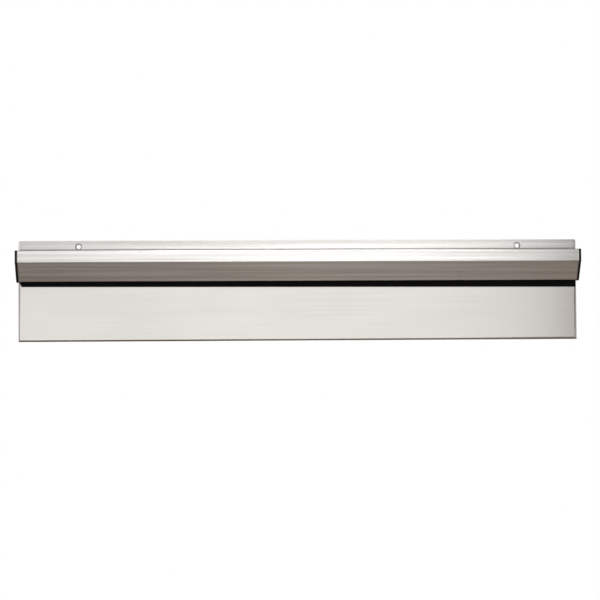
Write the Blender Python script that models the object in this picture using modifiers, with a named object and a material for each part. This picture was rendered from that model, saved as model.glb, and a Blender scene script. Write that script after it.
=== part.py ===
import math
from itertools import repeat

import bmesh
import bpy
from mathutils import Matrix, Vector

# Order ticket rail: a wall plate of folded sheet steel, a folded hood whose flange lies on the
# plate's flange, and a row of loose glass marbles in the V between the two. A slip pushed up
# through the slot lifts the marbles, which roll back down the slope and pinch it against a
# rubber strip. Two wall screws go through both flanges.
# +X runs along the rail, +Y points into the wall and +Z is up. The origin lies on the wall
# plane, midway between the two screw holes. Depths are measured from the wall towards the
# viewer, and drops downwards from the top edge of the hood's flange.

# Values shared by the folded pieces, in metres
SHEET = 0.0010
SEAT_GAP = 0.0003
OVERRUN = 0.0020
WELD = 0.00001
BEND_STEPS = 4

# Wall plate
PLATE_LENGTH = 0.6000
PLATE_SETBACK = 0.0008
PLATE_HEIGHT = 0.1072
PLATE_STANDOFF = 0.0045
PLATE_BEND = 0.0028
PLATE_FLANGE = 0.0122
JOGGLE_HEIGHT = 0.0040
JOGGLE_BEND = 0.0015
CORNER_SLIT = 0.0005
SCREW_DROP = 0.0065
SCREW_INSET = 0.0640
SCREW_HOLE = 0.0045
SCREW_SIDES = 24

# Hood
HOOD_INSET = 0.0014
HOOD_FLANGE = 0.0115
HOOD_FACE = 0.0126
HOOD_SLOPE = 0.0206
HOOD_BEND = 0.0016
LIP_REACH = 0.0080
HEM_BEND = 0.0013
HEM_THICKNESS = 0.0027
HEM_LENGTH = 0.0045

# Rubber strip
STRIP_THICKNESS = 0.0012
STRIP_HEIGHT = 0.0300
STRIP_SHOWN = 0.0057
STRIP_SKEW = 0.0021
TRIM_WIDTH = 0.0024
TRIM_HEIGHT = 0.0046

# Marbles
MARBLE_DIAMETER = 0.0160
MARBLE_GAP = 0.0003
MARBLE_ROOM = 0.0029
MARBLE_SIDES = 16
MARBLE_RINGS = 8

# End caps
CAP_THICKNESS = 0.0022
CAP_EDGE = 0.0005
CAP_TAIL = 0.0002
PLUG_LENGTH = 0.0100
PLUG_WALL = 0.0014
PLUG_LIFT = 0.0080
EDGE_STEPS = 2

# Places that follow from the sizes above: a depth is positive towards the viewer
TOP = SCREW_DROP
PLATE_TOP = TOP - PLATE_SETBACK
BOTTOM = PLATE_TOP - PLATE_HEIGHT
SCREW_PLACE = PLATE_LENGTH / 2 - SCREW_INSET
HOOD_LENGTH = PLATE_LENGTH - 2 * HOOD_INSET
HOOD_TOP = TOP - HOOD_FLANGE
HOOD_BACK = SHEET + SEAT_GAP
STRIP_BACK = PLATE_STANDOFF + SEAT_GAP
STRIP_FRONT = STRIP_BACK + STRIP_THICKNESS
HOOD_FRONT = STRIP_FRONT + MARBLE_DIAMETER + MARBLE_ROOM + SHEET
RIDGE = HOOD_TOP - HOOD_FACE
LIP = RIDGE - HOOD_SLOPE
STRIP_BOTTOM = LIP - STRIP_SHOWN
CAP_BOTTOM = LIP - CAP_TAIL
CAP_INSIDE = HOOD_LENGTH / 2 + SEAT_GAP
CAP_OUTSIDE = CAP_INSIDE + CAP_THICKNESS
PLUG_END = HOOD_LENGTH / 2 - PLUG_LENGTH

# A section is drawn as (depth, height) and stands square to the rail. The face of the strip
# is drawn as (along the rail, height).
SECTION = Matrix(((0, 0, 1, 0), (-1, 0, 0, 0), (0, 1, 0, 0), (0, 0, 0, 1)))
FRONTAL = Matrix(((1, 0, 0, 0), (0, 0, -1, 0), (0, 1, 0, 0), (0, 0, 0, 1)))


def clear_scene():
    for item in list(bpy.data.objects):
        bpy.data.objects.remove(item, do_unlink=True)


def make_collection(name):
    collection = bpy.data.collections.new(name)
    bpy.context.scene.collection.children.link(collection)
    return collection


def make_material(name, color, metallic, roughness, transmission=0.0):
    material = bpy.data.materials.new(name)
    material.use_nodes = True
    shader = material.node_tree.nodes["Principled BSDF"]
    shader.inputs["Base Color"].default_value = (*color, 1.0)
    shader.inputs["Metallic"].default_value = metallic
    shader.inputs["Roughness"].default_value = roughness
    shader.inputs["Transmission Weight"].default_value = transmission
    return material


def rounded(corners, radii):
    """An open line through the corners, with an arc at each inner corner, one radius for each."""
    points = [Vector(corners[0])]
    for before, corner, after, radius in zip(corners, corners[1:], corners[2:], radii):
        arrive = (Vector(corner) - Vector(before)).normalized()
        leave = (Vector(after) - Vector(corner)).normalized()
        turn = math.atan2(arrive.x * leave.y - arrive.y * leave.x, arrive.dot(leave))
        side = math.copysign(1, turn)
        start = Vector(corner) - arrive * radius * math.tan(abs(turn) / 2)
        centre = start + Vector((-arrive.y, arrive.x)) * side * radius
        for step in range(BEND_STEPS + 1):
            angle = turn * step / BEND_STEPS
            points.append(centre + Matrix.Rotation(angle, 2) @ (start - centre))
    points.append(Vector(corners[-1]))
    return points


def beside(points, distance):
    """The line that runs at the distance from a line, on its left as it is walked."""
    result = []
    for index, point in enumerate(points):
        before = points[index] - points[index - 1] if index else points[1] - points[0]
        after = points[index + 1] - point if index + 1 < len(points) else before
        normals = [Vector((-run.y, run.x)).normalized() for run in (before, after)]
        middle = (normals[0] + normals[1]).normalized()
        result.append(point + middle * distance / middle.dot(normals[0]))
    return result


def ending_at(points, first_height, last_height):
    """The same line with its two end points moved to new heights."""
    start = Vector((points[0].x, first_height))
    end = Vector((points[-1].x, last_height))
    return [start] + points[1:-1] + [end]


def mesh_from_outline(name, outline, low, high, drawn_in):
    """A closed mesh of a flat outline, drawn out from low to high along the outline's normal."""
    curve = bpy.data.curves.new(name, "CURVE")
    curve.dimensions = "2D"
    curve.fill_mode = "BOTH"
    curve.extrude = (high - low) / 2
    spline = curve.splines.new("POLY")
    spline.points.add(len(outline) - 1)
    for spot, point in zip(spline.points, outline):
        spot.co = (point[0], point[1], 0, 1)
    spline.use_cyclic_u = True
    guide = bpy.data.objects.new(name, curve)
    bpy.context.scene.collection.objects.link(guide)
    evaluated = guide.evaluated_get(bpy.context.evaluated_depsgraph_get())
    mesh = bpy.data.meshes.new_from_object(evaluated)
    bpy.data.objects.remove(guide, do_unlink=True)
    mesh.transform(drawn_in @ Matrix.Translation((0, 0, (low + high) / 2)))
    shape = bmesh.new()
    shape.from_mesh(mesh)
    bmesh.ops.remove_doubles(shape, verts=shape.verts, dist=WELD)
    bmesh.ops.dissolve_limit(shape, angle_limit=math.radians(0.1), verts=shape.verts, edges=shape.edges)
    bmesh.ops.recalc_face_normals(shape, faces=shape.faces)
    shape.to_mesh(mesh)
    shape.free()
    mesh.name = name
    return mesh


def round_edges(mesh, radius, steps, wanted):
    """Rounds each edge whose two ends satisfy the test."""
    shape = bmesh.new()
    shape.from_mesh(mesh)
    edges = [edge for edge in shape.edges if wanted(edge.verts[0].co, edge.verts[1].co)]
    bmesh.ops.bevel(
        shape, geom=edges, offset=radius, offset_type="OFFSET", segments=steps,
        profile=0.5, affect="EDGES", clamp_overlap=True)
    shape.to_mesh(mesh)
    shape.free()


def add_object(name, mesh, collection, material=None, parent=None, location=(0, 0, 0)):
    item = bpy.data.objects.new(name, mesh)
    collection.objects.link(item)
    item.location = location
    item.parent = parent
    if material and not mesh.materials:
        mesh.materials.append(material)
    return item


def add_cutter(name, mesh, collection, location=(0, 0, 0)):
    cutter = add_object(name, mesh, collection, location=location)
    cutter.hide_render = True
    cutter.display_type = "WIRE"
    return cutter


def add_boolean(item, other, operation):
    modifier = item.modifiers.new(operation.capitalize() + " " + other.name, "BOOLEAN")
    modifier.operation = operation
    modifier.solver = "EXACT"
    modifier.object = other
    return modifier


def plate_front_line():
    """The wall plate's front surface in section: flange, joggle and panel, top to bottom."""
    corners = [
        (SHEET, PLATE_TOP),
        (SHEET, PLATE_TOP - PLATE_FLANGE),
        (PLATE_STANDOFF, PLATE_TOP - PLATE_FLANGE - JOGGLE_HEIGHT),
        (PLATE_STANDOFF, BOTTOM),
    ]
    return rounded(corners, repeat(JOGGLE_BEND))


def hood_corners():
    """The hood's shown surface in section, unrounded: flange, top, front face and slope."""
    return [
        Vector((HOOD_BACK + SHEET, TOP)),
        Vector((HOOD_BACK + SHEET, HOOD_TOP)),
        Vector((HOOD_FRONT, HOOD_TOP)),
        Vector((HOOD_FRONT, RIDGE)),
        Vector((PLATE_STANDOFF + LIP_REACH, LIP)),
    ]


def hood_line():
    """The hood's shown surface with its bends, and the lip hemmed back behind the slope."""
    run = slope_run()
    inward = Vector((-run.y, run.x))
    corners = hood_corners()
    corners.append(corners[-1] + inward * HEM_THICKNESS)
    corners.append(corners[-1] + run * HEM_LENGTH)
    radii = [HOOD_BEND - SHEET, HOOD_BEND, HOOD_BEND, HEM_BEND, HEM_BEND]
    return rounded(corners, radii)


def add_folds(item, name, half, bottom, radius, cutters):
    """Rounds the panel's front at its sides and bottom, where the sheet folds back."""
    front = PLATE_STANDOFF - PLATE_BEND + radius
    top = TOP + OVERRUN
    block = [(-PLATE_STANDOFF, bottom), (front, bottom), (front, top), (-PLATE_STANDOFF, top)]
    mesh = mesh_from_outline(name, block, -half, half, SECTION)

    def is_fold(one, other):
        in_front = max(one.y, other.y) < WELD - front
        at_side = min(abs(one.x), abs(other.x)) > half - WELD
        at_bottom = max(one.z, other.z) < bottom + WELD
        return in_front and (at_side or at_bottom)

    round_edges(mesh, radius, BEND_STEPS, is_fold)
    add_boolean(item, add_cutter(name, mesh, cutters), "INTERSECT")


def build_wall_plate(parts, cutters, parent, steel):
    line = plate_front_line()
    half = PLATE_LENGTH / 2
    reach = half + OVERRUN
    below = BOTTOM - OVERRUN
    outline = ending_at(line, PLATE_TOP, below) + [Vector((0, below)), Vector((0, PLATE_TOP))]
    mesh = mesh_from_outline("back_plate", outline, -reach, reach, SECTION)
    plate = add_object("back_plate", mesh, parts, steel, parent)
    add_folds(plate, "panel_folds", half, BOTTOM, PLATE_BEND, cutters)

    # The hollow behind the panel, one sheet inside the front surface and the three returns
    inner = beside(line, -SHEET)
    hollow = ending_at(inner[1:], inner[1].y, below)
    hollow += [Vector((-OVERRUN, below)), Vector((-OVERRUN, hollow[0].y))]
    mesh = mesh_from_outline("panel_hollow", hollow, -reach, reach, SECTION)
    cutter = add_cutter("panel_hollow", mesh, cutters)
    add_folds(
        cutter, "panel_folds_inside", half - SHEET, BOTTOM + SHEET, PLATE_BEND - SHEET, cutters)
    add_boolean(plate, cutter, "DIFFERENCE")

    # The open mitre between the side and bottom returns, just short of their folds
    for name, side in (("corner_slit_left", -1), ("corner_slit_right", 1)):
        mesh = bpy.data.meshes.new(name)
        shape = bmesh.new()
        deep = PLATE_STANDOFF - PLATE_BEND - CORNER_SLIT
        size = (CORNER_SLIT, 2 * deep, 2 * (SHEET + OVERRUN))
        turn = Matrix.Rotation(math.copysign(math.pi / 4, -side), 4, "Y")
        bmesh.ops.create_cube(shape, size=1, matrix=turn @ Matrix.Diagonal((*size, 1)))
        shape.to_mesh(mesh)
        shape.free()
        place = (side * half, 0, BOTTOM)
        add_boolean(plate, add_cutter(name, mesh, cutters, place), "DIFFERENCE")
    return plate


def cut_round(item, name, cutters, along, rear, front, rear_width, front_width):
    """Cuts a round hole square to the wall, between two depths, with a width at each end."""
    mesh = bpy.data.meshes.new(name)
    shape = bmesh.new()
    bmesh.ops.create_cone(
        shape, cap_ends=True, segments=SCREW_SIDES, radius1=rear_width / 2,
        radius2=front_width / 2, depth=front - rear, matrix=Matrix.Rotation(math.pi / 2, 4, "X"))
    shape.to_mesh(mesh)
    shape.free()
    place = (along, -(rear + front) / 2, TOP - SCREW_DROP)
    add_boolean(item, add_cutter(name, mesh, cutters, place), "DIFFERENCE")


def build_screw_holes(plate, hood, cutters):
    """Two screw holes: plain ones in the wall plate's flange, and the seats of countersunk
    heads in the hood's flange, which narrow at 90 degrees to the plate's holes."""
    reach = SEAT_GAP + SHEET + OVERRUN
    for name, side in (("left", -1), ("right", 1)):
        along = side * SCREW_PLACE
        cut_round(
            plate, "screw_hole_" + name, cutters, along, -OVERRUN, SHEET + OVERRUN,
            SCREW_HOLE, SCREW_HOLE)
        cut_round(
            hood, "screw_seat_" + name, cutters, along, SHEET, SHEET + reach,
            SCREW_HOLE, SCREW_HOLE + 2 * reach)


def build_hood(parts, parent, steel):
    mesh = bpy.data.meshes.new("hood")
    shape = bmesh.new()
    section = reversed(hood_line())
    line = [shape.verts.new((-HOOD_LENGTH / 2, -point.x, point.y)) for point in section]
    edges = [shape.edges.new(pair) for pair in zip(line, line[1:])]
    drawn = bmesh.ops.extrude_edge_only(shape, edges=edges)["geom"]
    moved = [item for item in drawn if isinstance(item, bmesh.types.BMVert)]
    bmesh.ops.translate(shape, verts=moved, vec=(HOOD_LENGTH, 0, 0))
    for face in shape.faces:
        face.smooth = True
    shape.to_mesh(mesh)
    shape.free()
    hood = add_object("hood", mesh, parts, steel, parent)
    sheet = hood.modifiers.new("Sheet", "SOLIDIFY")
    sheet.thickness = SHEET
    sheet.offset = -1
    sheet.use_even_offset = True
    return hood


def build_strip(parts, parent, rubber):
    """The strip, stuck on a little out of level: its left end is higher than its right end."""
    half = HOOD_LENGTH / 2
    left = STRIP_BOTTOM + STRIP_SKEW / 2
    right = STRIP_BOTTOM - STRIP_SKEW / 2
    outline = [
        (-half, left + STRIP_HEIGHT),
        (half, right + STRIP_HEIGHT),
        (half, right),
        (-half + TRIM_WIDTH, left),
        (-half, left + TRIM_HEIGHT),
    ]
    mesh = mesh_from_outline("grip_strip", outline, STRIP_BACK, STRIP_FRONT, FRONTAL)
    return add_object("grip_strip", mesh, parts, rubber, parent)


def slope_run():
    """The unit vector up the hood's slope, in section."""
    rise = Vector((HOOD_FRONT - PLATE_STANDOFF - LIP_REACH, HOOD_SLOPE))
    return rise.normalized()


def marble_seat():
    """The marble's centre in section, with its clearances to the strip and the slope."""
    radius = MARBLE_DIAMETER / 2
    depth = STRIP_FRONT + SEAT_GAP + radius
    run = slope_run()
    inward = Vector((-run.y, run.x))
    lip_inside = Vector((PLATE_STANDOFF + LIP_REACH, LIP)) + inward * SHEET
    away = radius + SEAT_GAP + (depth - lip_inside.x) * run.y
    return Vector((depth, lip_inside.y + away / run.x))


def marble_travel():
    """How far a marble can climb the slope before the front face or the top stops it."""
    seat = marble_seat()
    run = slope_run()
    clear = MARBLE_DIAMETER / 2 + SHEET + SEAT_GAP
    forward = (HOOD_FRONT - clear - seat.x) / run.x
    upward = (HOOD_TOP - clear - seat.y) / run.y
    return min(forward, upward)


def build_marbles(parts, parent, glass):
    mesh = bpy.data.meshes.new("marble")
    shape = bmesh.new()
    bmesh.ops.create_uvsphere(
        shape, u_segments=MARBLE_SIDES, v_segments=MARBLE_RINGS, radius=MARBLE_DIAMETER / 2,
        matrix=Matrix.Rotation(math.pi / 2, 4, "Y"))
    shape.to_mesh(mesh)
    shape.free()
    mesh.shade_smooth()
    seat = marble_seat()
    pitch = MARBLE_DIAMETER + MARBLE_GAP
    count = int((2 * PLUG_END + MARBLE_GAP) // pitch)
    for index in range(count):
        along = (index - (count - 1) / 2) * pitch
        name = "marble_%02d" % (index + 1)
        add_object(name, mesh, parts, glass, parent, (along, -seat.x, seat.y))
    print("marbles:", count, "seat depth, height:", tuple(seat), "travel:", marble_travel())


def build_cap(name, side, parts, cutters, parent, plastic):
    """A moulded end cap: an outer plate that follows the section, and a hollow plug."""
    low, high = sorted((side * CAP_INSIDE, side * CAP_OUTSIDE))
    rear = ending_at(beside(plate_front_line(), SEAT_GAP), HOOD_TOP, CAP_BOTTOM)
    run = slope_run()
    tail = Vector((PLATE_STANDOFF + LIP_REACH, LIP)) - run * CAP_TAIL / run.y
    corners = [
        (rear[0].x, HOOD_TOP),
        (HOOD_FRONT, HOOD_TOP),
        (HOOD_FRONT, RIDGE),
        tuple(tail),
        (rear[-1].x, CAP_BOTTOM),
    ]
    outline = rounded(corners, repeat(HOOD_BEND)) + rear[-2:0:-1]
    mesh = mesh_from_outline(name, outline, low, high, SECTION)

    def is_outer_edge(one, other):
        return min(abs(one.x), abs(other.x)) > CAP_OUTSIDE - WELD

    round_edges(mesh, CAP_EDGE, EDGE_STEPS, is_outer_edge)
    cap = add_object(name, mesh, parts, plastic, parent)

    # The plug follows the inside of the hood and stops above the slot
    inside = beside(hood_corners(), -SHEET - SEAT_GAP)
    plug_back = STRIP_FRONT + SEAT_GAP
    plug_top = inside[1].y
    slope_end = inside[-1] + run * PLUG_LIFT / run.y
    plug = [Vector((plug_back, plug_top)), inside[2], inside[3], slope_end]
    plug.append(Vector((plug_back, slope_end.y)))
    low, high = sorted((side * PLUG_END, side * (CAP_INSIDE + CAP_THICKNESS / 2)))
    outline = rounded(plug, repeat(HOOD_BEND - SHEET - SEAT_GAP))
    mesh = mesh_from_outline(name + "_plug", outline, low, high, SECTION)
    add_boolean(cap, add_cutter(name + "_plug", mesh, cutters), "UNION")

    # The plug is cored out from its inner end, with one web left across the core
    wall = beside(plug + plug[:2], -PLUG_WALL)[1:-1]
    low, high = sorted((side * (PLUG_END - OVERRUN), side * CAP_INSIDE))
    mesh = mesh_from_outline(name + "_core", wall, low, high, SECTION)
    core = add_cutter(name + "_core", mesh, cutters)
    web_height = (plug_top + slope_end.y) / 2
    web = [
        (STRIP_FRONT, web_height - PLUG_WALL / 2),
        (HOOD_FRONT, web_height - PLUG_WALL / 2),
        (HOOD_FRONT, web_height + PLUG_WALL / 2),
        (STRIP_FRONT, web_height + PLUG_WALL / 2),
    ]
    low, high = sorted((side * (PLUG_END - 2 * OVERRUN), side * (CAP_INSIDE + OVERRUN)))
    mesh = mesh_from_outline(name + "_web", web, low, high, SECTION)
    add_boolean(core, add_cutter(name + "_web", mesh, cutters), "DIFFERENCE")
    add_boolean(cap, core, "DIFFERENCE")
    return cap


def main():
    clear_scene()
    parts = make_collection("order_ticket_rail")
    cutters = make_collection("cutters")
    steel = make_material("brushed_steel", (0.62, 0.60, 0.58), 1.0, 0.32)
    rubber = make_material("black_rubber", (0.012, 0.012, 0.012), 0.0, 0.75)
    plastic = make_material("black_plastic", (0.015, 0.015, 0.016), 0.0, 0.45)
    glass = make_material("clear_glass", (0.80, 0.88, 0.86), 0.0, 0.03, 1.0)
    rail = bpy.data.objects.new("rail_origin", None)
    parts.objects.link(rail)
    plate = build_wall_plate(parts, cutters, rail, steel)
    hood = build_hood(parts, rail, steel)
    build_screw_holes(plate, hood, cutters)
    build_strip(parts, rail, rubber)
    build_cap("end_cap_left", -1, parts, cutters, rail, plastic)
    build_cap("end_cap_right", 1, parts, cutters, rail, plastic)
    build_marbles(parts, rail, glass)


main()
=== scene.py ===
import math

import bmesh
import bpy
from mathutils import Matrix, Vector


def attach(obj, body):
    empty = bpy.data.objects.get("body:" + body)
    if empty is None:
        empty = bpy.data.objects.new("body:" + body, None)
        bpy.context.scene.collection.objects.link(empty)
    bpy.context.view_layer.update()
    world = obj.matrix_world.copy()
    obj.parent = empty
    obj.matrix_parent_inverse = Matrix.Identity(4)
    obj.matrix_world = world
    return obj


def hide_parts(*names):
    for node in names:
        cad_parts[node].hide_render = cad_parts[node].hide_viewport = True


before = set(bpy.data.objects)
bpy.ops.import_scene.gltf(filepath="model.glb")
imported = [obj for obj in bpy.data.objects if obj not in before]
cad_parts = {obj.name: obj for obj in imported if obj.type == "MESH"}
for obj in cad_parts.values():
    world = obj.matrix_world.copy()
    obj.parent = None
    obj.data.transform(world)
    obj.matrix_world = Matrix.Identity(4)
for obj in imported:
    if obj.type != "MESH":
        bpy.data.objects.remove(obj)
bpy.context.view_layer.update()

mm = 0.001

# Sizes that several pieces share, in mm: depths from the wall, heights from the screw holes' line
sheet = {"thickness": 1.0, "seatGap": 0.3, "bendSteps": 8, "deburr": 0.12}
overrun = 2.0  # how far a cutter reaches past what it cuts
near = 0.01  # how close to a face an edge counts as lying on it
section = {
    "flangeTop": 6.48,
    "flangeFront": 2.3,
    "plateTop": 5.7,
    "bottom": -101.5,
    "standoff": 4.5,
    "hoodTop": -5.0,
    "hoodFront": 25.9,
    "ridge": -17.6,
    "lipDepth": 12.5,
    "lip": -38.2,
    "stripFront": 6.0,
}


def linear(text):
    # "#rrggbb" in sRGB to a linear colour with alpha
    shares = [int(text[i:i + 2], 16) / 255 for i in (1, 3, 5)]
    return tuple(s / 12.92 if s <= 0.04045 else ((s + 0.055) / 1.055) ** 2.4 for s in shares) + (1.0,)


def addNode(tree, kind, settings=None, inputs=None, links=None):
    # settings: properties, a ramp's stops or a switch's item count; links: socket -> (node, output)
    node = tree.nodes.new(kind)
    for key, value in (settings or {}).items():
        if key == "stops":
            elements = node.color_ramp.elements
            for i, (place, color) in enumerate(value):
                element = elements[i] if i < len(elements) else elements.new(place)
                element.position = place
                element.color = color
        elif key == "items":
            while len(node.index_switch_items) < value:
                node.index_switch_items.new()
        else:
            setattr(node, key, value)
    for key, value in (inputs or {}).items():
        node.inputs[key].default_value = value
    for key, (source, output) in (links or {}).items():
        tree.links.new(source.outputs[output], node.inputs[key])
    return node


def newMaterial(name):
    material = bpy.data.materials.new(name)
    material.use_nodes = True
    material.node_tree.nodes.clear()
    return material, material.node_tree


# Noise fields are (length along the rail, pitch across it, detail), lengths in mm. Each look's last
# value sets how strongly the painted shade on the hood's flange shows; the plate gets none
plateLook = {
    "lines": (120, 0.9, 3.0), "bands": (420, 6.0, 2.0), "drift": (150, 60.0, 2.0), "bandShare": 0.25,
    "dark": "#cdcac6", "light": "#d2cfcb", "dull": "#fbfaf9",
    "smooth": 0.19, "rough": 0.21, "bump": 0.05, "anisotropy": 0.88, "missed": 0.0,
}
hoodLook = {
    "lines": (160, 1.1, 3.0), "bands": (500, 3.4, 2.0), "drift": (200, 14.0, 2.0), "bandShare": 1.2,
    "dark": "#d0cecb", "light": "#e2e0de", "dull": "#f4f3f2",
    "smooth": 0.25, "rough": 0.262, "bump": 0.09, "anisotropy": 1.0, "missed": 0.75,
}
# What both share, distances in mm. The stops paint shade on the hood's flange, from a little below its
# foot to a little above its top: darkest in the crease at its foot, where shade falls, and a little
# darker towards its top
belt = {
    "noiseRoughness": 0.55, "contrast": 0.22, "haze": (0.35, 0.65), "relief": 0.02,
    "missed": [(0.0, 0.0), (0.02, 1.0), (0.19, 1.0), (0.27, 0.07), (1.0, 0.30)],
    "belowFoot": 0.5, "aboveTop": 0.1, "flangeDepth": 1.0, "cutDepth": 0.1, "cutShare": 0.7,
    # the colour that the painted shade on the flange darkens to
    "paintedShadeTone": "#3c3a38",
}


def brushedStainless(name, look):
    # 304 stainless sheet, belt-brushed along the rail: fine lines that smear each reflection across
    # them. The real lines are 0.05 to 0.2 mm apart and are drawn coarser, so that they show.
    material, tree = newMaterial(name)
    coords = addNode(tree, "ShaderNodeTexCoord")
    fields = []
    for length, pitch, detail in (look["lines"], look["bands"], look["drift"]):
        place = addNode(tree, "ShaderNodeMapping", inputs={
            "Scale": (1 / (length * mm), 1 / (pitch * mm), 1 / (pitch * mm))},
            links={"Vector": (coords, "Object")})
        fields.append(addNode(tree, "ShaderNodeTexNoise", inputs={
            "Scale": 1.0, "Detail": detail, "Roughness": belt["noiseRoughness"]},
            links={"Vector": (place, "Vector")}))
    lines, bands, drift = fields
    streaks = addNode(tree, "ShaderNodeMath", {"operation": "MULTIPLY_ADD"},
                      inputs={1: look["bandShare"]}, links={0: (bands, "Fac"), 2: (lines, "Fac")})
    middle = (look["bandShare"] + 1) / 2
    tint = addNode(tree, "ShaderNodeMapRange", inputs={
        "From Min": middle - belt["contrast"], "From Max": middle + belt["contrast"]},
        links={"Value": (streaks, "Value")})
    color = addNode(tree, "ShaderNodeValToRGB", {
        "stops": [(0.0, linear(look["dark"])), (1.0, linear(look["light"]))]},
        links={"Fac": (tint, "Result")})
    hazeFrom, hazeTo = belt["haze"]
    haze = addNode(tree, "ShaderNodeValToRGB", {
        "stops": [(hazeFrom, linear(look["dull"])), (hazeTo, linear("#ffffff"))]},
        links={"Fac": (drift, "Fac")})
    worn = addNode(tree, "ShaderNodeMix", {"data_type": "RGBA", "blend_type": "MULTIPLY"},
                   inputs={0: 1.0}, links={6: (color, "Color"), 7: (haze, "Color")})
    # Painted shade on the hood's flange: darkest in the crease at its foot, a little darker towards its
    # top edge, and in the screws' seats; its cut edges get the same darkening
    split = addNode(tree, "ShaderNodeSeparateXYZ", links={"Vector": (coords, "Object")})
    # heights on the flange, which set its painted shade
    reached = addNode(tree, "ShaderNodeMapRange", inputs={
        "From Min": (section["hoodTop"] - belt["belowFoot"]) * mm,
        "From Max": (section["flangeTop"] + belt["aboveTop"]) * mm}, links={"Value": (split, "Z")})
    missed = addNode(tree, "ShaderNodeValToRGB", {
        "stops": [(place, (level,) * 3 + (1,)) for place, level in belt["missed"]]},
        links={"Fac": (reached, "Result")})
    front = section["flangeFront"]
    onFlange = addNode(tree, "ShaderNodeMath", {"operation": "GREATER_THAN"},
                       inputs={1: -(front + belt["flangeDepth"]) * mm}, links={0: (split, "Y")})
    # the flange's painted shade, by height
    dull = addNode(tree, "ShaderNodeMath", {"operation": "MULTIPLY"},
                   links={0: (onFlange, 0), 1: (missed, "Color")})
    # painted shade in the screws' seats, which also darkens the flange's cut edges
    cutEdge = addNode(tree, "ShaderNodeMapRange", inputs={
        "From Min": -front * mm, "From Max": -(front - belt["cutDepth"]) * mm,
        "To Max": belt["cutShare"]}, links={"Value": (split, "Y")})
    either = addNode(tree, "ShaderNodeMath", {"operation": "MAXIMUM"},
                     links={0: (dull, 0), 1: (cutEdge, 0)})
    amount = addNode(tree, "ShaderNodeMath", {"operation": "MULTIPLY"}, inputs={1: look["missed"]},
                     links={0: (either, 0)})
    # the painted shade mixed into the steel's colour
    creased = addNode(tree, "ShaderNodeMix", {"data_type": "RGBA"},
                      inputs={7: linear(belt["paintedShadeTone"])},
                      links={0: (amount, 0), 6: (worn, "Result")})
    rough = addNode(tree, "ShaderNodeMapRange", inputs={
        "To Min": look["smooth"], "To Max": look["rough"]}, links={"Value": (tint, "Result")})
    bump = addNode(tree, "ShaderNodeBump", inputs={
        "Strength": look["bump"], "Distance": belt["relief"] * mm}, links={"Height": (streaks, "Value")})
    tangent = addNode(tree, "ShaderNodeTangent", {"direction_type": "UV_MAP", "uv_map": "across"})
    shader = addNode(tree, "ShaderNodeBsdfPrincipled", inputs={
        "Metallic": 1.0, "Anisotropic": look["anisotropy"]},
        links={"Base Color": (creased, "Result"), "Roughness": (rough, "Result"),
               "Normal": (bump, "Normal"), "Tangent": (tangent, "Tangent")})
    addNode(tree, "ShaderNodeOutputMaterial", links={"Surface": (shader, "BSDF")})
    return material


# Spans are where in the noise's range a change starts and ends; scuffs are by axis, lengths in mm
millLook = {
    "mottle": 3.0, "mottleDetail": 5.0, "mottleRoughness": 0.6, "mottleSpan": (0.3, 0.7),
    "scuff": (30, 1.0, 0.6), "scuffTurn": (0, 0.5, 0), "scuffDetail": 2.0, "scuffSpan": (0.62, 0.72),
    "dark": "#a5a29d", "light": "#b7b4af", "bright": "#c9c7c3",
    "smooth": 0.34, "rough": 0.46, "bump": 0.15, "relief": 0.02,
}


def milledStainless(name, look):
    # The sheet's other side keeps its 2B mill finish: cold rolled and pickled, an even dull grey with
    # a soft mottle and a few scuffs from the folding press
    material, tree = newMaterial(name)
    low, high = look["mottleSpan"]
    scuffLow, scuffHigh = look["scuffSpan"]
    coords = addNode(tree, "ShaderNodeTexCoord")
    place = addNode(tree, "ShaderNodeMapping", inputs={"Scale": (1 / (look["mottle"] * mm),) * 3},
                    links={"Vector": (coords, "Object")})
    mottle = addNode(tree, "ShaderNodeTexNoise", inputs={
        "Scale": 1.0, "Detail": look["mottleDetail"], "Roughness": look["mottleRoughness"]},
        links={"Vector": (place, "Vector")})
    scuffPlace = addNode(tree, "ShaderNodeMapping", inputs={
        "Rotation": look["scuffTurn"], "Scale": [1 / (size * mm) for size in look["scuff"]]},
        links={"Vector": (coords, "Object")})
    scuffs = addNode(tree, "ShaderNodeTexNoise", inputs={"Scale": 1.0, "Detail": look["scuffDetail"]},
                     links={"Vector": (scuffPlace, "Vector")})
    mask = addNode(tree, "ShaderNodeMapRange", inputs={"From Min": scuffLow, "From Max": scuffHigh},
                   links={"Value": (scuffs, "Fac")})
    color = addNode(tree, "ShaderNodeValToRGB", {
        "stops": [(low, linear(look["dark"])), (high, linear(look["light"]))]},
        links={"Fac": (mottle, "Fac")})
    scuffed = addNode(tree, "ShaderNodeMix", {"data_type": "RGBA"}, inputs={7: linear(look["bright"])},
                      links={0: (mask, "Result"), 6: (color, "Color")})
    rough = addNode(tree, "ShaderNodeMapRange", inputs={
        "From Min": low, "From Max": high, "To Min": look["smooth"], "To Max": look["rough"]},
        links={"Value": (mottle, "Fac")})
    bump = addNode(tree, "ShaderNodeBump", inputs={
        "Strength": look["bump"], "Distance": look["relief"] * mm}, links={"Height": (mottle, "Fac")})
    shader = addNode(tree, "ShaderNodeBsdfPrincipled", inputs={"Metallic": 1.0},
                     links={"Base Color": (scuffed, "Result"), "Roughness": (rough, "Result"),
                            "Normal": (bump, "Normal")})
    addNode(tree, "ShaderNodeOutputMaterial", links={"Surface": (shader, "BSDF")})
    return material


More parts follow.
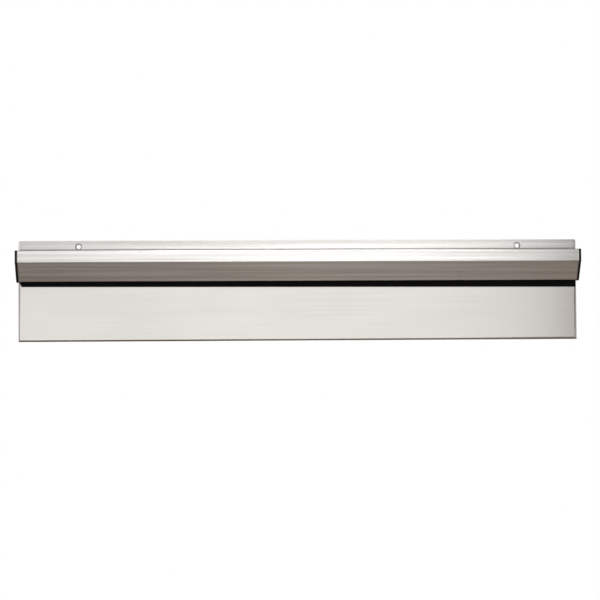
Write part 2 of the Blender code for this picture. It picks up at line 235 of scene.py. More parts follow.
rubberLook = {
    "grain": 0.25, "patch": 12, "stretch": 6, "dark": "#060606", "light": "#0d0d0c",
    "smooth": 0.72, "rough": 0.90, "bump": 0.35, "ior": 1.50, "specular": 0.10,
}
capLook = {
    "grain": 0.20, "patch": 8, "stretch": 1, "dark": "#0b0b0c", "light": "#141414",
    "smooth": 0.45, "rough": 0.60, "bump": 0.30, "ior": 1.53, "specular": 0.13,
}
# What both share
mould = {"detail": 3.0, "toneSpan": (0.35, 0.70), "glossSpan": (0.3, 0.7), "relief": 0.05}


def mouldedBlack(name, look):
    # Black rubber or ABS with carbon black in it: a fine grain that scatters the light, and faint
    # greyer patches where it has been handled
    material, tree = newMaterial(name)
    coords = addNode(tree, "ShaderNodeTexCoord")
    fields = []
    for size in (look["grain"], look["patch"]):
        place = addNode(tree, "ShaderNodeMapping", inputs={
            "Scale": (1 / (size * look["stretch"] * mm), 1 / (size * mm), 1 / (size * mm))},
            links={"Vector": (coords, "Object")})
        fields.append(addNode(tree, "ShaderNodeTexNoise", inputs={
            "Scale": 1.0, "Detail": mould["detail"]}, links={"Vector": (place, "Vector")}))
    grain, patches = fields
    low, high = mould["toneSpan"]
    color = addNode(tree, "ShaderNodeValToRGB", {
        "stops": [(low, linear(look["dark"])), (high, linear(look["light"]))]},
        links={"Fac": (patches, "Fac")})
    low, high = mould["glossSpan"]
    rough = addNode(tree, "ShaderNodeMapRange", inputs={
        "From Min": low, "From Max": high, "To Min": look["smooth"], "To Max": look["rough"]},
        links={"Value": (patches, "Fac")})
    bump = addNode(tree, "ShaderNodeBump", inputs={
        "Strength": look["bump"], "Distance": mould["relief"] * mm}, links={"Height": (grain, "Fac")})
    shader = addNode(tree, "ShaderNodeBsdfPrincipled", inputs={
        "IOR": look["ior"], "Specular IOR Level": look["specular"]},
        links={"Base Color": (color, "Color"), "Roughness": (rough, "Result"),
               "Normal": (bump, "Normal")})
    addNode(tree, "ShaderNodeOutputMaterial", links={"Surface": (shader, "BSDF")})
    return material


glassLook = {
    "ripple": 5, "rippleDetail": 4.0, "rippleTwist": 1.2, "rippleSpan": (0.35, 0.65),
    "scuff": (0.5, 4, 1.5), "scuffTurn": (0.6, 0.2, 0.9), "scuffDetail": 3.0, "scuffSpan": (0.55, 0.75),
    "deep": "#b9d2c6", "pale": "#e2eee8", "smooth": 0.02, "rough": 0.16, "bump": 0.2, "relief": 0.03,
    "ior": 1.52,
}


def rolledGlass(name, look):
    # Soda-lime glass, gathered and rolled: clear with a faint green body, soft ripples, and a bloom
    # of fine scuffs from rubbing on its neighbours
    material, tree = newMaterial(name)
    coords = addNode(tree, "ShaderNodeTexCoord")
    place = addNode(tree, "ShaderNodeMapping", inputs={"Scale": (1 / (look["ripple"] * mm),) * 3},
                    links={"Vector": (coords, "Object")})
    ripple = addNode(tree, "ShaderNodeTexNoise", inputs={
        "Scale": 1.0, "Detail": look["rippleDetail"], "Distortion": look["rippleTwist"]},
        links={"Vector": (place, "Vector")})
    low, high = look["rippleSpan"]
    color = addNode(tree, "ShaderNodeValToRGB", {
        "stops": [(low, linear(look["deep"])), (high, linear(look["pale"]))]},
        links={"Fac": (ripple, "Fac")})
    scuffPlace = addNode(tree, "ShaderNodeMapping", inputs={
        "Rotation": look["scuffTurn"], "Scale": [1 / (size * mm) for size in look["scuff"]]},
        links={"Vector": (coords, "Object")})
    scuffs = addNode(tree, "ShaderNodeTexNoise", inputs={"Scale": 1.0, "Detail": look["scuffDetail"]},
                     links={"Vector": (scuffPlace, "Vector")})
    low, high = look["scuffSpan"]
    rough = addNode(tree, "ShaderNodeMapRange", inputs={
        "From Min": low, "From Max": high, "To Min": look["smooth"], "To Max": look["rough"]},
        links={"Value": (scuffs, "Fac")})
    bump = addNode(tree, "ShaderNodeBump", inputs={
        "Strength": look["bump"], "Distance": look["relief"] * mm}, links={"Height": (scuffs, "Fac")})
    shader = addNode(tree, "ShaderNodeBsdfPrincipled", inputs={
        "IOR": look["ior"], "Transmission Weight": 1.0},
        links={"Base Color": (color, "Color"), "Roughness": (rough, "Result"),
               "Normal": (bump, "Normal")})
    addNode(tree, "ShaderNodeOutputMaterial", links={"Surface": (shader, "BSDF")})
    return material


plateSteel = brushedStainless("satin_brushed_stainless", plateLook)
hoodSteel = brushedStainless("belt_brushed_stainless", hoodLook)
millSteel = milledStainless("mill_finish_stainless", millLook)
stripRubber = mouldedBlack("extruded_epdm_rubber", rubberLook)
capPlastic = mouldedBlack("moulded_black_abs", capLook)
marbleGlass = rolledGlass("rolled_soda_lime_glass", glassLook)
print("materials made")


def rounded(corners, radius, steps):
    # An open line through the corners, with an arc at each inner one
    points = [Vector(corners[0])]
    for before, corner, after in zip(corners, corners[1:], corners[2:]):
        corner = Vector(corner)
        arrive = (corner - Vector(before)).normalized()
        leave = (Vector(after) - corner).normalized()
        turn = math.atan2(arrive.x * leave.y - arrive.y * leave.x, arrive.dot(leave))
        start = corner - arrive * radius * math.tan(abs(turn) / 2)
        centre = start + Vector((-arrive.y, arrive.x)) * math.copysign(radius, turn)
        for step in range(steps + 1):
            points.append(centre + Matrix.Rotation(turn * step / steps, 2) @ (start - centre))
    points.append(Vector(corners[-1]))
    return points


def beside(points, distance):
    # The line at a distance from another, on its left as it is walked
    result = []
    for i, point in enumerate(points):
        before = point - points[i - 1] if i else points[1] - points[0]
        after = points[i + 1] - point if i + 1 < len(points) else before
        normals = [Vector((-run.y, run.x)).normalized() for run in (before, after)]
        middle = (normals[0] + normals[1]).normalized()
        result.append(point + middle * distance / middle.dot(normals[0]))
    return result


def drawn(outline, toPoint, step):
    # A closed outline in mm, placed by toPoint and drawn out by a step, as a closed shape
    shape = bmesh.new()
    ring = [shape.verts.new(Vector(toPoint(p)) * mm) for p in outline]
    added = bmesh.ops.extrude_face_region(shape, geom=[shape.faces.new(ring)])["geom"]
    moved = [g for g in added if isinstance(g, bmesh.types.BMVert)]
    bmesh.ops.translate(shape, verts=moved, vec=Vector(step) * mm)
    bmesh.ops.recalc_face_normals(shape, faces=shape.faces)
    return shape


def extruded(outline, low, high):
    # A (depth, height) section drawn along the rail
    return drawn(outline, lambda p: (low, -p[0], p[1]), (high - low, 0, 0))


def bevelEdges(shape, radius, steps, wanted):
    edges = [e for e in shape.edges if wanted(*(v.co / mm for v in e.verts))]
    bmesh.ops.bevel(shape, geom=edges, offset=radius * mm, offset_type="OFFSET", segments=steps,
                    profile=0.5, affect="EDGES", clamp_overlap=True)


def toObject(name, shape=None):
    mesh = bpy.data.meshes.new(name)
    if shape:
        shape.to_mesh(mesh)
        shape.free()
    piece = bpy.data.objects.new(name, mesh)
    bpy.context.scene.collection.objects.link(piece)
    return piece


def applied(piece):
    # The piece with its modifiers baked into a plain mesh
    evaluated = piece.evaluated_get(bpy.context.evaluated_depsgraph_get())
    mesh = bpy.data.meshes.new_from_object(evaluated)
    piece.modifiers.clear()
    old = piece.data
    piece.data = mesh
    bpy.data.meshes.remove(old)
    mesh.name = piece.name
    return piece


def cut(piece, cutter, operation="DIFFERENCE"):
    modifier = piece.modifiers.new(cutter.name, "BOOLEAN")
    modifier.operation = operation
    modifier.solver = "EXACT"
    modifier.object = cutter
    applied(piece)
    bpy.data.objects.remove(cutter, do_unlink=True)


# Angles in degrees; corners closer than "collapsed", in mm, become one; a face that looks more than
# "endways" along the rail is a cut end
finish = {"softenAngle": 35, "sharpAngle": 32, "collapsed": 0.002, "endways": 0.8}


def softenEdges(piece, width, steps=2):
    modifier = piece.modifiers.new("deburr", "BEVEL")
    modifier.width = width * mm
    modifier.segments = steps
    modifier.limit_method = "ANGLE"
    modifier.angle_limit = math.radians(finish["softenAngle"])
    tiny = piece.modifiers.new("collapsed corners", "WELD")
    tiny.merge_threshold = finish["collapsed"] * mm
    applied(piece)


def unwrapAcross(piece):
    # The first coordinate runs across the brushing and the second along the rail
    mesh = piece.data
    layer = mesh.uv_layers.new(name="across")
    for polygon in mesh.polygons:
        endways = abs(polygon.normal.x) > finish["endways"]
        for i in polygon.loop_indices:
            x, y, z = mesh.vertices[mesh.loops[i].vertex_index].co
            layer.data[i].uv = (z, y) if endways else (z - y, x)


def finishPiece(piece, slot, body, node, *materials):
    sides = [min(polygon.material_index, len(materials) - 1) for polygon in piece.data.polygons]
    piece.data.materials.clear()
    for material in materials:
        piece.data.materials.append(material)
    piece.data.polygons.foreach_set("material_index", sides)
    piece.data.shade_smooth()
    piece.data.set_sharp_from_angle(angle=math.radians(finish["sharpAngle"]))
    # big flat faces keep their own normals, so that a bend or a bevel beside them doesn't tilt them
    weighted = piece.modifiers.new("weighted normals", "WEIGHTED_NORMAL")
    weighted.mode = "FACE_AREA"
    weighted.keep_sharp = True
    applied(piece)
    unwrapAcross(piece)
    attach(piece, body)
    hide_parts(node)


def newTree(name, sizes):
    # A Geometry Nodes tree with a named input for each size
    tree = bpy.data.node_groups.new(name, "GeometryNodeTree")
    tree.interface.new_socket("Geometry", in_out="OUTPUT", socket_type="NodeSocketGeometry")
    for label, value in sizes.items():
        kind = "NodeSocketInt" if isinstance(value, int) else "NodeSocketFloat"
        tree.interface.new_socket(label, in_out="INPUT", socket_type=kind)
    return tree, addNode(tree, "NodeGroupInput"), addNode(tree, "NodeGroupOutput")


def runTree(name, tree, sizes):
    # A plain mesh of what the tree makes from the sizes
    piece = toObject(name)
    modifier = piece.modifiers.new(tree.name, "NODES")
    modifier.node_group = tree
    for socket in tree.interface.items_tree:
        if socket.in_out == "INPUT":
            modifier[socket.identifier] = sizes[socket.name]
    return applied(piece)


plate = {"half": 300.0, "flange": 12.2, "joggle": 4.0, "joggleBend": 1.5, "fold": 2.8,
         "slit": 0.5, "slitLength": 6.0, "mitre": 45}
mill = {"side": 0.1, "front": 0.05, "top": 0.5, "turn": 0.5}  # slack in telling the plate's wall side
screw = {"hole": 4.5, "place": 236.0, "sides": 64}
# A row of dents from a spot welder's tip, cut by balls
weld = {"Count": 9, "Pitch": 50.0, "Ball": 12.0, "Dent": 0.12, "Height": 0.0, "Divisions": 6}


def plateLine():
    # The plate's shown surface in section: flange, joggle and panel
    s = section
    foot = s["plateTop"] - plate["flange"]
    corners = [(sheet["thickness"], s["plateTop"]), (sheet["thickness"], foot),
               (s["standoff"], foot - plate["joggle"]), (s["standoff"], s["bottom"])]
    return rounded(corners, plate["joggleBend"], sheet["bendSteps"])


def weldRowTree(sizes):
    # A row of balls that cut the dents into the back of the plate's flange
    tree, given, result = newTree("spot_weld_row", sizes)
    reach = addNode(tree, "ShaderNodeMath", {"operation": "SUBTRACT"},
                    links={0: (given, "Ball"), 1: (given, "Dent")})
    gaps = addNode(tree, "ShaderNodeMath", {"operation": "SUBTRACT"}, inputs={1: 1},
                   links={0: (given, "Count")})
    length = addNode(tree, "ShaderNodeMath", {"operation": "MULTIPLY"},
                     links={0: (gaps, 0), 1: (given, "Pitch")})
    first = addNode(tree, "ShaderNodeMath", {"operation": "MULTIPLY"}, inputs={1: -0.5},
                    links={0: (length, 0)})
    start = addNode(tree, "ShaderNodeCombineXYZ", links={
        "X": (first, 0), "Y": (reach, 0), "Z": (given, "Height")})
    step = addNode(tree, "ShaderNodeCombineXYZ", links={"X": (given, "Pitch")})
    row = addNode(tree, "GeometryNodeMeshLine", links={
        "Count": (given, "Count"), "Start Location": (start, 0), "Offset": (step, 0)})
    ball = addNode(tree, "GeometryNodeMeshIcoSphere", links={
        "Radius": (given, "Ball"), "Subdivisions": (given, "Divisions")})
    balls = addNode(tree, "GeometryNodeInstanceOnPoints", links={
        "Points": (row, 0), "Instance": (ball, 0)})
    real = addNode(tree, "GeometryNodeRealizeInstances", links={0: (balls, 0)})
    dressed = addNode(tree, "GeometryNodeSetMaterial", inputs={"Material": millSteel},
                      links={0: (real, 0)})
    tree.links.new(dressed.outputs[0], result.inputs[0])
    return tree


def cutRound(piece, along, rear, front, rearWidth, frontWidth):
    # A round cut through a sheet, from one depth and width to another
    shape = bmesh.new()
    place = Matrix.Translation((along * mm, -(rear + front) / 2 * mm, 0))
    forward = Matrix.Rotation(math.pi / 2, 4, "X")
    bmesh.ops.create_cone(shape, cap_ends=True, segments=screw["sides"], radius1=rearWidth / 2 * mm,
                          radius2=frontWidth / 2 * mm, depth=(front - rear) * mm, matrix=place @ forward)
    cut(piece, toObject("round_cut", shape))


def foldBlock(name, half, bottom, front, radius):
    # A block with its front edges rounded at the sides and the bottom, where the sheet folds back
    top = section["plateTop"] + overrun
    shape = extruded([(-front, bottom), (front, bottom), (front, top), (-front, top)], -half, half)

    def isFold(a, b):
        atSide = min(abs(a.x), abs(b.x)) > half - near
        return max(a.y, b.y) < near - front and (atSide or max(a.z, b.z) < bottom + near)

    bevelEdges(shape, radius, sheet["bendSteps"], isFold)
    return toObject(name, shape)


def makeWallPlate():
    t = sheet["thickness"]
    s = section
    half = plate["half"]
    front = plateLine()
    wide = half + overrun
    below = s["bottom"] - overrun
    outline = front[:-1] + [Vector((s["standoff"], below)), Vector((0, below)),
                            Vector((0, s["plateTop"]))]
    piece = toObject("wall_plate_sheet", extruded(outline, -wide, wide))
    cut(piece, foldBlock("folds", half, s["bottom"], s["standoff"], plate["fold"]), "INTERSECT")

    inner = beside(front, -t)
    floor = s["bottom"] + t
    hollow = inner[1:-1] + [Vector((inner[-1].x, below)), Vector((-overrun, below)),
                            Vector((-overrun, inner[1].y))]
    hollowCutter = toObject("hollow", extruded(hollow, -wide, wide))
    cut(hollowCutter, foldBlock("inner_folds", half - t, floor, s["standoff"] - t, plate["fold"] - t),
        "INTERSECT")
    cut(piece, hollowCutter)

    for side in (-1, 1):
        cutRound(piece, side * screw["place"], -overrun, t + overrun, screw["hole"], screw["hole"])
        # the open mitre where the side and bottom returns meet
        shape = bmesh.new()
        turn = Matrix.Rotation(side * math.radians(-plate["mitre"]), 4, "Y")
        spot = Matrix.Translation((side * half * mm, 0, s["bottom"] * mm))
        deep = 2 * (s["standoff"] - plate["fold"] - plate["slit"])
        bmesh.ops.create_cube(shape, size=1.0, matrix=spot @ turn @ Matrix.Diagonal(
            (plate["slit"] * mm, deep * mm, plate["slitLength"] * mm, 1)))
        cut(piece, toObject("slit", shape))
    softenEdges(piece, sheet["deburr"])
    sizes = {key: value if isinstance(value, int) else value * mm for key, value in weld.items()}
    cut(piece, runTree("spot_welds", weldRowTree(sizes), sizes))
    finishPiece(piece, "steel_plate", "rail", "back_plate", plateSteel, millSteel)
    for polygon in piece.data.polygons:  # what looks at the wall keeps the mill finish
        x, y, z = polygon.center / mm
        inside = abs(x) < half - t + mill["side"] and z > floor - mill["side"]
        behind = z < front[1].y - mill["top"] and -y < s["standoff"] - t + mill["front"]
        polygon.material_index = int((inside and behind) or polygon.normal.y > mill["turn"])


makeWallPlate()
print("wall plate made")


marble = {"Count": 35, "Pitch": 16.3, "Diameter": 16.0, "Depth": 14.3, "Height": -18.377,
          "Ripple": 0.03, "Divisions": 5}
hood = {"half": 298.6, "bend": 1.6, "hemBend": 1.3, "hem": 2.7, "hemLength": 4.5,
        "pinchShare": 0.025, "pinchWidth": 1.15, "pinchTurn": 0.12, "pinchFrom": 14.0, "pinchFull": 19.0}


def hoodCorners():
    # The hood's shown surface in section, unrounded: flange, top, face and slope
    s = section
    return [Vector((s["flangeFront"], s["flangeTop"])), Vector((s["flangeFront"], s["hoodTop"])),
            Vector((s["hoodFront"], s["hoodTop"])), Vector((s["hoodFront"], s["ridge"])),
            Vector((s["lipDepth"], s["lip"]))]


def foldedSheetTree(sizes):
    # The hood's section as a line of corners, each rounded to its bend, drawn out along the rail
    tree, given, result = newTree("folded_hood_sheet", sizes)
    corners = []
    for depth, height in (("Flange Front", "Flange Top"), ("Flange Front", "Hood Top"),
                          ("Hood Front", "Hood Top"), ("Hood Front", "Ridge"),
                          ("Lip Depth", "Lip Height")):
        forward = addNode(tree, "ShaderNodeMath", {"operation": "MULTIPLY"}, inputs={1: -1.0},
                          links={0: (given, depth)})
        corners.append(addNode(tree, "ShaderNodeCombineXYZ", links={
            "X": (given, "Half Length"), "Y": (forward, 0), "Z": (given, height)}))
    slope = addNode(tree, "ShaderNodeVectorMath", {"operation": "SUBTRACT"},
                    links={0: (corners[3], 0), 1: (corners[4], 0)})
    run = addNode(tree, "ShaderNodeVectorMath", {"operation": "NORMALIZE"}, links={0: (slope, 0)})
    inward = addNode(tree, "ShaderNodeVectorRotate", {"rotation_type": "X_AXIS"},
                     inputs={"Angle": math.radians(-90)}, links={"Vector": (run, 0)})
    across = addNode(tree, "ShaderNodeVectorMath", {"operation": "SCALE"},
                     links={0: (inward, 0), "Scale": (given, "Hem Width")})
    corners.append(addNode(tree, "ShaderNodeVectorMath", {"operation": "ADD"},
                           links={0: (corners[4], 0), 1: (across, 0)}))
    back = addNode(tree, "ShaderNodeVectorMath", {"operation": "SCALE"},
                   links={0: (run, 0), "Scale": (given, "Hem Length")})
    corners.append(addNode(tree, "ShaderNodeVectorMath", {"operation": "ADD"},
                           links={0: (corners[5], 0), 1: (back, 0)}))
    which = addNode(tree, "GeometryNodeInputIndex")
    byIndex = {"Index": (which, 0)}
    byIndex.update({str(i): (corner, 0) for i, corner in enumerate(corners)})
    places = addNode(tree, "GeometryNodeIndexSwitch", {"data_type": "VECTOR", "items": len(corners)},
                     links=byIndex)
    bends = addNode(tree, "GeometryNodeIndexSwitch", {"data_type": "FLOAT", "items": len(corners)},
                    links={"Index": (which, 0), "1": (given, "Inside Bend"), "2": (given, "Bend"),
                           "3": (given, "Bend"), "4": (given, "Hem Bend"), "5": (given, "Hem Bend")})
    line = addNode(tree, "GeometryNodeMeshLine", inputs={"Count": len(corners)})
    placed = addNode(tree, "GeometryNodeSetPosition", links={
        "Geometry": (line, 0), "Position": (places, 0)})
    curve = addNode(tree, "GeometryNodeMeshToCurve", links={"Mesh": (placed, 0)})
    bent = addNode(tree, "GeometryNodeFilletCurve", {"mode": "POLY"}, links={
        "Curve": (curve, 0), "Radius": (bends, 0), "Count": (given, "Bend Steps")})
    edge = addNode(tree, "GeometryNodeCurveToMesh", links={"Curve": (bent, 0)})
    length = addNode(tree, "ShaderNodeMath", {"operation": "MULTIPLY"}, inputs={1: -2.0},
                     links={0: (given, "Half Length")})
    along = addNode(tree, "ShaderNodeCombineXYZ", links={"X": (length, 0)})
    surface = addNode(tree, "GeometryNodeExtrudeMesh", {"mode": "EDGES"}, inputs={"Offset Scale": 1.0},
                      links={"Mesh": (edge, 0), "Offset": (along, 0)})
    real = addNode(tree, "GeometryNodeRealizeInstances", links={0: (surface, 0)})
    dressed = addNode(tree, "GeometryNodeSetMaterial", inputs={"Material": hoodSteel},
                      links={0: (real, 0)})
    tree.links.new(dressed.outputs[0], result.inputs[0])
    return tree


def pinchEnds(piece):
    # The front of each end is pressed down a little onto the cap's plug, and catches a line of light
    shape = bmesh.new()
    shape.from_mesh(piece.data)
    start = hood["half"] - hood["pinchWidth"]
    for place in (start, start + hood["pinchTurn"]):
        for side in (-1, 1):
            bmesh.ops.bisect_plane(shape, geom=shape.verts[:] + shape.edges[:] + shape.faces[:],
                                   plane_co=(side * place * mm, 0, 0), plane_no=(1, 0, 0))
    for vert in shape.verts:
        along = (abs(vert.co.x) / mm - start) / hood["pinchWidth"]
        out = (-vert.co.y / mm - hood["pinchFrom"]) / (hood["pinchFull"] - hood["pinchFrom"])
        middle = Vector((vert.co.x, -marble["Depth"] * mm, marble["Height"] * mm))
        vert.co += (middle - vert.co) * hood["pinchShare"] * max(0, along) * min(1, max(0, out))
    shape.to_mesh(piece.data)
    shape.free()


def makeHood():
    s = section
    t = sheet["thickness"]
    lengths = {
        "Half Length": hood["half"], "Flange Front": s["flangeFront"], "Flange Top": s["flangeTop"],
        "Hood Top": s["hoodTop"], "Hood Front": s["hoodFront"], "Ridge": s["ridge"],
        "Lip Depth": s["lipDepth"], "Lip Height": s["lip"], "Bend": hood["bend"],
        "Inside Bend": hood["bend"] - t, "Hem Bend": hood["hemBend"], "Hem Width": hood["hem"],
        "Hem Length": hood["hemLength"],
    }
    sizes = {key: value * mm for key, value in lengths.items()}
    sizes["Bend Steps"] = sheet["bendSteps"]
    piece = runTree("hood_sheet", foldedSheetTree(sizes), sizes)
    shell = piece.modifiers.new("sheet", "SOLIDIFY")
    shell.thickness = t * mm
    shell.offset = -1
    shell.use_even_offset = True
    shell.material_offset = 1
    piece.data.materials.append(millSteel)
    applied(piece)
    reach = sheet["seatGap"] + t + overrun
    for side in (-1, 1):  # the seats of countersunk heads, which narrow to the plate's holes
        cutRound(piece, side * screw["place"], t, t + reach, screw["hole"], screw["hole"] + 2 * reach)
    softenEdges(piece, sheet["deburr"])
    pinchEnds(piece)
    finishPiece(piece, "steel_hood", "rail", "hood", hoodSteel, millSteel)


makeHood()
print("hood made")


strip = {"half": 298.6, "back": 4.8, "tall": 30.0, "bottom": -43.9, "skew": 2.1, "trim": (2.4, 4.6),
         "edge": 0.25, "edgeSteps": 3}


def makeStrip():
    # Stuck on a little out of level: the left end is higher than the right one
    half, tall = strip["half"], strip["tall"]
    left, right = strip["bottom"] + strip["skew"] / 2, strip["bottom"] - strip["skew"] / 2
    trimX, trimZ = strip["trim"]
    outline = [(-half, left + tall), (half, right + tall), (half, right), (trimX - half, left),
               (-half, left + trimZ)]
    thick = section["stripFront"] - strip["back"]
    shape = drawn(outline, lambda p: (p[0], -strip["back"], p[1]), (0, -thick, 0))
    piece = toObject("grip_strip_rubber", shape)
    softenEdges(piece, strip["edge"], strip["edgeSteps"])
    finishPiece(piece, "rubber_strip", "rail", "grip_strip", stripRubber)


makeStrip()
print("strip made")


cap = {"inside": 298.9, "outside": 301.1, "edge": 0.5, "edgeSteps": 4, "corner": 1.6, "tail": 0.2,
       "deburr": 0.15, "steps": 6, "plugEnd": 288.6, "plugRoot": 1.0, "plugWall": 1.4, "plugLift": 8.0}


def makeCap(side):
    s = section
    t = sheet["thickness"]
    gap = sheet["seatGap"]
    name = "left" if side < 0 else "right"
    rear = beside(plateLine(), gap)
    bottom = s["lip"] - cap["tail"]
    run = Vector((s["hoodFront"] - s["lipDepth"], s["ridge"] - s["lip"])).normalized()
    tail = Vector((s["lipDepth"], s["lip"])) - run * cap["tail"] / run.y
    corners = [Vector((rear[0].x, s["hoodTop"])), Vector((s["hoodFront"], s["hoodTop"])),
               Vector((s["hoodFront"], s["ridge"])), tail, Vector((rear[-1].x, bottom))]
    outline = rounded(corners, cap["corner"], cap["steps"]) + rear[-2:0:-1]

    def alongEnd(profile, start, end):
        # A section drawn along this end of the rail, between two distances from the rail's middle
        return extruded(profile, *sorted((side * start, side * end)))

    shape = alongEnd(outline, cap["inside"], cap["outside"])
    bevelEdges(shape, cap["edge"], cap["edgeSteps"],
               lambda a, b: min(abs(a.x), abs(b.x)) > cap["outside"] - near)
    piece = toObject("end_cap_moulding_" + name, shape)

    inside = beside(hoodCorners(), -t - gap)
    back = s["stripFront"] + gap
    end = inside[-1] + run * cap["plugLift"] / run.y
    plug = [Vector((back, inside[1].y)), inside[2], inside[3], end, Vector((back, end.y))]
    plugOutline = rounded(plug, hood["bend"] - t - gap, cap["steps"])
    solidPlug = toObject("plug", alongEnd(plugOutline, cap["plugEnd"], cap["inside"] + cap["plugRoot"]))
    cut(piece, solidPlug, "UNION")
    core = beside(plug + plug[:2], -cap["plugWall"])[1:-1]
    coreCutter = toObject("core", alongEnd(core, cap["plugEnd"] - overrun, cap["inside"]))
    middle = (plug[0].y + end.y) / 2
    low, high = middle - cap["plugWall"] / 2, middle + cap["plugWall"] / 2
    web = [(s["stripFront"], low), (s["hoodFront"], low),
           (s["hoodFront"], high), (s["stripFront"], high)]
    webCutter = toObject("web", alongEnd(web, cap["plugEnd"] - 2 * overrun, cap["inside"] + overrun))
    cut(coreCutter, webCutter)
    cut(piece, coreCutter)
    softenEdges(piece, cap["deburr"])
    finishPiece(piece, "plastic_cap", "rail", "end_cap_" + name, capPlastic)


for side in (-1, 1):
    makeCap(side)
print("end caps made")


def marbleTree(sizes):
    # One marble of the row: a rolled ball, slightly rippled, turned at random and set in its place
    tree, given, result = newTree("glass_marble_row", sizes)
    radius = addNode(tree, "ShaderNodeMath", {"operation": "MULTIPLY"}, inputs={1: 0.5},
                     links={0: (given, "Diameter")})
    ball = addNode(tree, "GeometryNodeMeshIcoSphere", links={
        "Radius": (radius, 0), "Subdivisions": (given, "Divisions")})
    normal = addNode(tree, "GeometryNodeInputNormal")
    ripplesPerMetre = 260.0
    wave = addNode(tree, "ShaderNodeTexNoise", {"noise_dimensions": "4D"}, inputs={
        "Scale": ripplesPerMetre, "Detail": 1.0}, links={"W": (given, "Index")})
    swing = addNode(tree, "ShaderNodeMath", {"operation": "SUBTRACT"}, inputs={1: 1.0},
                    links={0: (wave, 0)})  # inwards only, so that the ball keeps its room
    depth = addNode(tree, "ShaderNodeMath", {"operation": "MULTIPLY"},
                    links={0: (swing, 0), 1: (given, "Ripple")})
    offset = addNode(tree, "ShaderNodeVectorMath", {"operation": "SCALE"},
                     links={0: (normal, 0), "Scale": (depth, 0)})
    rippled = addNode(tree, "GeometryNodeSetPosition", links={
        "Geometry": (ball, 0), "Offset": (offset, 0)})
    turn = addNode(tree, "FunctionNodeRandomValue", {"data_type": "FLOAT_VECTOR"},
                   inputs={"Max": (math.tau,) * 3, "ID": 0}, links={"Seed": (given, "Index")})
    gaps = addNode(tree, "ShaderNodeMath", {"operation": "SUBTRACT"}, inputs={1: 1},
                   links={0: (given, "Count")})
    middle = addNode(tree, "ShaderNodeMath", {"operation": "MULTIPLY_ADD"}, inputs={1: -0.5},
                     links={0: (gaps, 0), 2: (given, "Index")})
    along = addNode(tree, "ShaderNodeMath", {"operation": "MULTIPLY"},
                    links={0: (middle, 0), 1: (given, "Pitch")})
    forward = addNode(tree, "ShaderNodeMath", {"operation": "MULTIPLY"}, inputs={1: -1.0},
                      links={0: (given, "Depth")})
    seat = addNode(tree, "ShaderNodeCombineXYZ", links={
        "X": (along, 0), "Y": (forward, 0), "Z": (given, "Height")})
    seated = addNode(tree, "GeometryNodeTransform", links={
        "Geometry": (rippled, 0), "Translation": (seat, 0), "Rotation": (turn, 0)})
    smooth = addNode(tree, "GeometryNodeSetShadeSmooth", links={0: (seated, 0)})
    real = addNode(tree, "GeometryNodeRealizeInstances", links={0: (smooth, 0)})
    dressed = addNode(tree, "GeometryNodeSetMaterial", inputs={"Material": marbleGlass},
                      links={0: (real, 0)})
    tree.links.new(dressed.outputs[0], result.inputs[0])
    return tree


def makeMarbles():
    sizes = {key: value if isinstance(value, int) else value * mm for key, value in marble.items()}
    sizes["Index"] = 0
    tree = marbleTree(sizes)
    for index in range(marble["Count"]):
        node = "marble_%02d" % (index + 1)
        sizes["Index"] = index
        piece = runTree("glass_" + node, tree, sizes)
        finishPiece(piece, "glass_marble", node, node, marbleGlass)


makeMarbles()
print("marbles made")


# Places in metres. The lists say what the steel mirrors by direction, with angles in degrees: heights
# above the horizon, and turns from straight behind the camera to the viewer's right
studio = {
    "cameraPlace": (-0.07711, -1.82649, -0.11646),
    "cameraTurn": (91.8355, 0.3459, -2.4331),
    "sensor": 36.0,
    "lens": 102.0,
    "floorHeight": -2.3,
    "floorRadius": 7.0,
    "floorSides": 96,
    "floorColor": "#d8d6d3",
    "floorRoughness": 0.9,
    "floorHeights": [(-90, "#776b62"), (-42, "#776b62"), (-24, "#000000")],
    "floorTurns": [(-8, "#c2bdb2"), (-4, "#e1dfd6"), (1, "#e3e2d7"), (3, "#fffff8"), (12, "#f4f6f5")],
    "ceilingHeights": [(50, "#000000"), (70, "#626262")],
    "heights": [(-90, "#000000"), (-40, "#000000"), (-24, "#ffffff"), (-12, "#ffffff"), (-3, "#e7e7e7"),
                (45, "#e7e7e7"), (62, "#a4a4a4"), (90, "#7c7c7c")],
    "turns": [(-180, "#d0d0d0"), (-90, "#bebebe"), (-60, "#9e9e9e"), (-50, "#f4f4f4"), (-32, "#f4f4f4"),
              (-26, "#8d8d8d"), (-18, "#8d8d8d"), (-12, "#ffffff"), (11.6, "#ffffff"), (12.6, "#5b504d"),
              (28, "#5b504d"), (34, "#e7e7e7"), (50, "#e7e7e7"), (60, "#8c8c8c"), (90, "#b4b4b4"),
              (180, "#d0d0d0")],
    "boxHeights": [(26, "#000000"), (32, "#ffffff"), (60, "#ffffff"), (66, "#000000")],
    "boxTurns": [(-4.6, "#000000"), (-3.2, "#efefef"), (4.0, "#e7e7e7"), (6.5, "#ffffff"),
                 (11.0, "#ffffff"), (12.6, "#000000")],
    "roomLevel": 1.46,
    "boxLevel": 4.0,
    "lampPlace": (0.1, -2.4, 1.4),
    "lampAim": (0, 0, -0.03),
    "lampSize": (0.9, 0.7),
    "lampPower": 6,
}


def makeCamera():
    data = bpy.data.cameras.new("camera")
    data.sensor_width = studio["sensor"]
    data.lens = studio["lens"]
    camera = bpy.data.objects.new("camera", data)
    bpy.context.scene.collection.objects.link(camera)
    camera.location = studio["cameraPlace"]
    camera.rotation_euler = [math.radians(a) for a in studio["cameraTurn"]]
    bpy.context.scene.camera = camera


